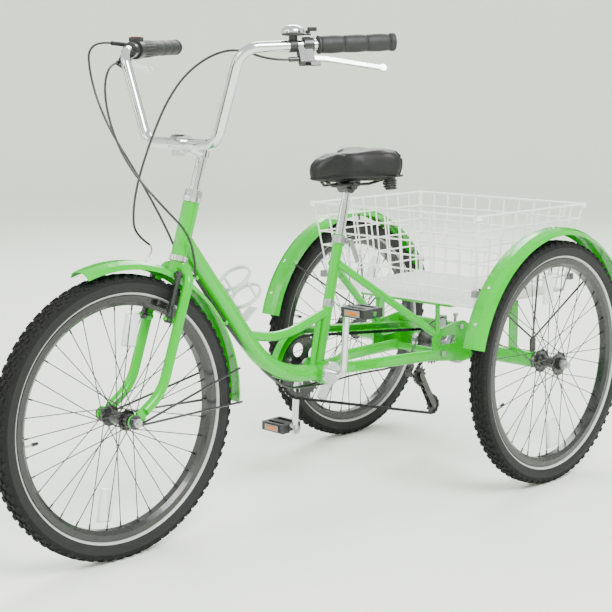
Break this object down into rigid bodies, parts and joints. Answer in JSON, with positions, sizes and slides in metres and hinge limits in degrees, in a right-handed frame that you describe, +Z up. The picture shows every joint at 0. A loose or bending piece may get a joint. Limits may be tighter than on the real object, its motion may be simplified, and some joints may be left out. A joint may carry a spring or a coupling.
{
  "type": "adult tricycle",
  "caption": "Adult tricycle with a step-through steel frame, swept handlebar, chain drive with gears, fenders over the wheels and a wire cargo basket between the rear wheels",
  "frame": {"origin": "centre of the bounding box's base, on the ground under the middle of the tricycle", "axes": "+X is the way it rides, +Y is the rider's left, +Z is up"},
  "size_m": [1.706, 0.784, 1.1091],
  "materials": {
    "green_paint": "gloss",
    "chrome": "polished",
    "white_wire": "gloss",
    "black_metal": "satin",
    "grey_metal": "satin",
    "silver_alloy": "satin",
    "bell_silver": "polished",
    "tyre_rubber": "matte",
    "grip_rubber": "matte",
    "black_plastic": "matte",
    "pale_plastic": "satin",
    "saddle_vinyl": "semi-gloss",
    "cable_housing": "gloss"
  },
  "bodies": {
    "frame": {"front_frame": "green_paint", "rear_frame": "green_paint", "bearing_cups": "black_metal", "rear_fenders": "green_paint", "rear_fender_stays": "black_metal", "basket_sides": "white_wire", "basket_caps": "white_wire", "basket_bottom": "white_wire", "bottle_cage": "pale_plastic", "frame_fasteners": "grey_metal", "chain_guard": "green_paint", "brake_band": "grey_metal", "derailleur_mount": "black_metal", "chain_upper": "grey_metal", "chain_lower": "grey_metal", "frame_cables": "cable_housing", "shift_cable": "cable_housing", "rear_brake_cable": "cable_housing"},
    "seat": {"seat_post": "chrome", "saddle_frame": "black_metal", "saddle_pad": "saddle_vinyl"},
    "seat_lock": {"seat_lever": "grey_metal"},
    "steering": {"fork": "green_paint", "steering_fasteners": "grey_metal", "stem": "chrome", "handlebar": "chrome", "grips": "grip_rubber", "shifter_body": "black_plastic", "lever_mounts": "black_metal", "bell": "bell_silver", "front_fender": "green_paint", "front_fender_stays": "black_metal", "front_brake_cable": "cable_housing"},
    "front_wheel": {"front_tyre": "tyre_rubber", "front_rim": "black_metal", "front_spokes": "black_metal"},
    "drive_axle": {"rear_axle": "grey_metal", "brake_drum": "grey_metal", "rear_left_tyre": "tyre_rubber", "rear_left_rim": "black_metal", "rear_left_spokes": "black_metal"},
    "free_wheel_right": {"rear_right_tyre": "tyre_rubber", "rear_right_rim": "black_metal", "rear_right_spokes": "black_metal"},
    "sprockets": {"freewheel": "black_metal"},
    "cranks": {"crank": "chrome", "chainring": "black_metal"},
    "left_pedal": {"pedal_left": "black_plastic"},
    "right_pedal": {"pedal_right": "black_plastic"},
    "gear_twist": {"twist_grip": "grip_rubber"},
    "left_lever": {"brake_lever_left": "silver_alloy"},
    "right_lever": {"brake_lever_right": "silver_alloy"},
    "bell_striker": {"bell_lever": "black_metal"},
    "left_brake_arm": {"brake_arm_left": "black_metal"},
    "right_brake_arm": {"brake_arm_right": "black_metal"},
    "drum_brake_arm": {"brake_arm_rear": "grey_metal"},
    "gear_link": {"derailleur_link": "black_metal"},
    "gear_cage": {"derailleur_cage": "black_metal"},
    "upper_pulley": {"pulley_guide": "black_plastic"},
    "lower_pulley": {"pulley_tension": "black_plastic"}
  },
  "joints": [
    {"name": "steer", "type": "hinge", "parent": "frame", "child": "steering", "pos_m": [0.33858, 0, 0.7389], "axis": [-0.3173, 0, 0.9483], "range_deg": [-45, 45], "deforming": ["shift_cable", "rear_brake_cable"]},
    {"name": "front_wheel_spin", "type": "hinge", "parent": "steering", "child": "front_wheel", "pos_m": [0.55002, 0, 0.303], "axis": [0, 1, 0], "continuous": true},
    {"name": "drive_axle_spin", "type": "hinge", "parent": "frame", "child": "drive_axle", "pos_m": [-0.52797, 0, 0.303], "axis": [0, 1, 0], "continuous": true},
    {"name": "right_wheel_spin", "type": "hinge", "parent": "frame", "child": "free_wheel_right", "pos_m": [-0.52797, -0.337, 0.303], "axis": [0, 1, 0], "continuous": true},
    {"name": "crank_spin", "type": "hinge", "parent": "frame", "child": "cranks", "pos_m": [-0.05697, 0, 0.306], "axis": [0, 1, 0], "continuous": true},
    {"name": "freewheel_spin", "type": "hinge", "parent": "frame", "child": "sprockets", "pos_m": [-0.52797, -0.06, 0.303], "axis": [0, 1, 0], "continuous": true},
    {"name": "left_pedal_spin", "type": "hinge", "parent": "cranks", "child": "left_pedal", "pos_m": [-0.05697, 0.088, 0.466], "axis": [0, 1, 0], "continuous": true},
    {"name": "right_pedal_spin", "type": "hinge", "parent": "cranks", "child": "right_pedal", "pos_m": [-0.05697, -0.088, 0.146], "axis": [0, 1, 0], "continuous": true},
    {"name": "seat_height", "type": "slide", "parent": "frame", "child": "seat", "axis": [-0.2389, 0, 0.971], "range_m": [-0.05, 0.07]},
    {"name": "seat_lock_lever", "type": "hinge", "parent": "frame", "child": "seat_lock", "pos_m": [-0.14447, 0.018, 0.61209], "axis": [0, 1, 0], "range_deg": [0, 150]},
    {"name": "gear_twist", "type": "hinge", "parent": "steering", "child": "gear_twist", "pos_m": [0.28477, -0.23484, 1.06543], "axis": [-0.8724, -0.4874, 0.0373], "range_deg": [-15, 75], "deforming": ["chain_lower"]},
    {"name": "left_brake_lever", "type": "hinge", "parent": "steering", "child": "left_lever", "pos_m": [0.25045, 0.27177, 1.04037], "axis": [0.4386, 0.7468, 0.4999], "range_deg": [0, 13], "stiffness_Nm_per_rad": 2, "springref_deg": -14.32},
    {"name": "right_brake_lever", "type": "hinge", "parent": "steering", "child": "right_lever", "pos_m": [0.32809, -0.22839, 1.03705], "axis": [-0.4386, 0.7468, -0.4999], "range_deg": [0, 10], "stiffness_Nm_per_rad": 2, "springref_deg": -14.32},
    {"name": "bell_lever", "type": "hinge", "parent": "steering", "child": "bell_striker", "pos_m": [0.24289, 0.25824, 1.09372], "axis": [0, 0, 1], "range_deg": [0, 25], "stiffness_Nm_per_rad": 0.05, "springref_deg": -11.46},
    {"name": "left_brake_arm_turn", "type": "hinge", "parent": "steering", "child": "left_brake_arm", "pos_m": [0.44384, 0.041, 0.50312], "axis": [0.9483, 0, 0.3173], "range_deg": [0, 2.5]},
    {"name": "right_brake_arm_turn", "type": "hinge", "parent": "steering", "child": "right_brake_arm", "pos_m": [0.44384, -0.041, 0.50312], "axis": [0.9483, 0, 0.3173], "range_deg": [-2.5, 0]},
    {"name": "drum_brake_arm_turn", "type": "hinge", "parent": "frame", "child": "drum_brake_arm", "pos_m": [-0.49397, 0.048, 0.347], "axis": [0, 1, 0], "range_deg": [0, 12]},
    {"name": "gear_link_swing", "type": "hinge", "parent": "frame", "child": "gear_link", "pos_m": [-0.50197, -0.082, 0.259], "axis": [1, 0, 0], "range_deg": [-8.4, 41.4], "deforming": ["chain_lower"]},
    {"name": "gear_cage_slide", "type": "slide", "parent": "frame", "child": "gear_cage", "axis": [0, 1, 0], "range_m": [-0.0054, 0.0256], "deforming": ["chain_lower"]},
    {"name": "upper_pulley_spin", "type": "hinge", "parent": "gear_cage", "child": "upper_pulley", "pos_m": [-0.50397, -0.06, 0.213], "axis": [0, 1, 0], "continuous": true},
    {"name": "lower_pulley_spin", "type": "hinge", "parent": "gear_cage", "child": "lower_pulley", "pos_m": [-0.55797, -0.06, 0.121], "axis": [0, 1, 0], "continuous": true}
  ],
  "couplings": [
    {"joint": "freewheel_spin", "follows": "crank_spin", "ratio": 2.375},
    {"joint": "upper_pulley_spin", "follows": "crank_spin", "ratio": -3.4545},
    {"joint": "lower_pulley_spin", "follows": "crank_spin", "ratio": 3.4545},
    {"joint": "left_brake_arm_turn", "follows": "left_brake_lever", "ratio": 0.19},
    {"joint": "right_brake_arm_turn", "follows": "left_brake_lever", "ratio": -0.19},
    {"joint": "drum_brake_arm_turn", "follows": "right_brake_lever", "ratio": 1.1},
    {"joint": "gear_link_swing", "follows": "gear_twist", "ratio": 0.545},
    {"joint": "gear_cage_slide", "follows": "gear_twist", "m_per_rad": 0.0191}
  ]
}
